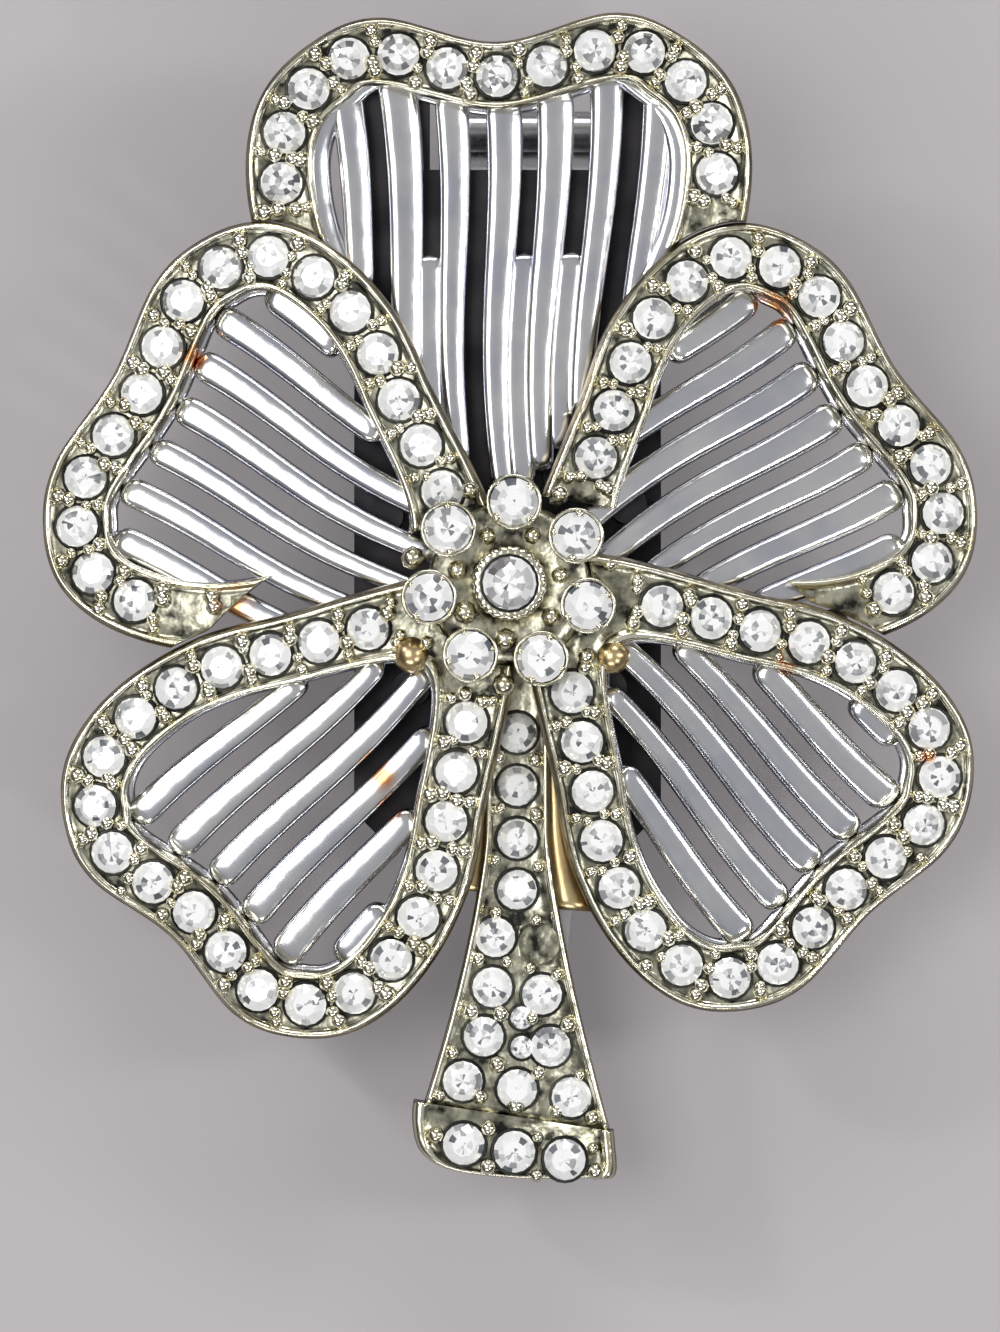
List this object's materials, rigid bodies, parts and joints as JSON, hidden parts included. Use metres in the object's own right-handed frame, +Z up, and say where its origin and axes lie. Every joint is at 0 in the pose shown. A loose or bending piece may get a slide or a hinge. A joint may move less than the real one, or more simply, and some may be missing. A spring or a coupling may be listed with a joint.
{
  "type": "rhinestone hair clip",
  "caption": "Clover ornament with stone-set rims, fluted open petals, a flared stem and a stone cluster, on a sprung alligator clip with a rolled thumb lever.",
  "frame": {"origin": "centre of the bounding box, at the surface that the clip lies on", "axes": "+Z up, out of the ornament's face; +Y from the stem's foot to the top petal; +X to the right of the ornament seen from above"},
  "size_m": [0.0492, 0.0612, 0.015],
  "materials": {
    "frame_metal": "bright cast metal with a pale gold tint",
    "grille_metal": "polished silver-coloured plating",
    "clip_metal": "plated sheet steel",
    "backing_metal": "blackened sheet metal",
    "spring_metal": "bare spring steel",
    "crystal": "foil-backed cut glass"
  },
  "bodies": {
    "ornament": {"top_petal_frame": "frame_metal", "top_petal_grille": "grille_metal", "top_petal_stones": "crystal", "upper_left_petal_frame": "frame_metal", "upper_left_petal_grille": "grille_metal", "upper_left_petal_stones": "crystal", "upper_right_petal_frame": "frame_metal", "upper_right_petal_grille": "grille_metal", "upper_right_petal_stones": "crystal", "lower_left_petal_frame": "frame_metal", "lower_left_petal_grille": "grille_metal", "lower_left_petal_stones": "crystal", "lower_right_petal_frame": "frame_metal", "lower_right_petal_grille": "grille_metal", "lower_right_petal_stones": "crystal", "stem_channel": "frame_metal", "stem_stones": "crystal", "stem_foot": "frame_metal", "foot_stones": "crystal", "hub_boss": "grille_metal", "cluster_cups": "frame_metal", "cluster_stones": "crystal", "centre_bezel": "frame_metal", "centre_stone": "crystal", "back_bridge": "backing_metal", "rivets": "spring_metal", "clip_base": "clip_metal", "hinge_pin": "spring_metal", "spring_coil": "spring_metal"},
    "jaw": {"clip_jaw": "clip_metal", "spring_free_end": "spring_metal"}
  },
  "joints": [
    {"name": "jaw_hinge", "type": "hinge", "parent": "ornament", "child": "jaw", "pos_m": [0.0008, 0.01205, 0.00593], "axis": [1, 0, 0], "range_deg": [0, 25], "stiffness_Nm_per_rad": 0.05, "springref_deg": -28.65}
  ]
}
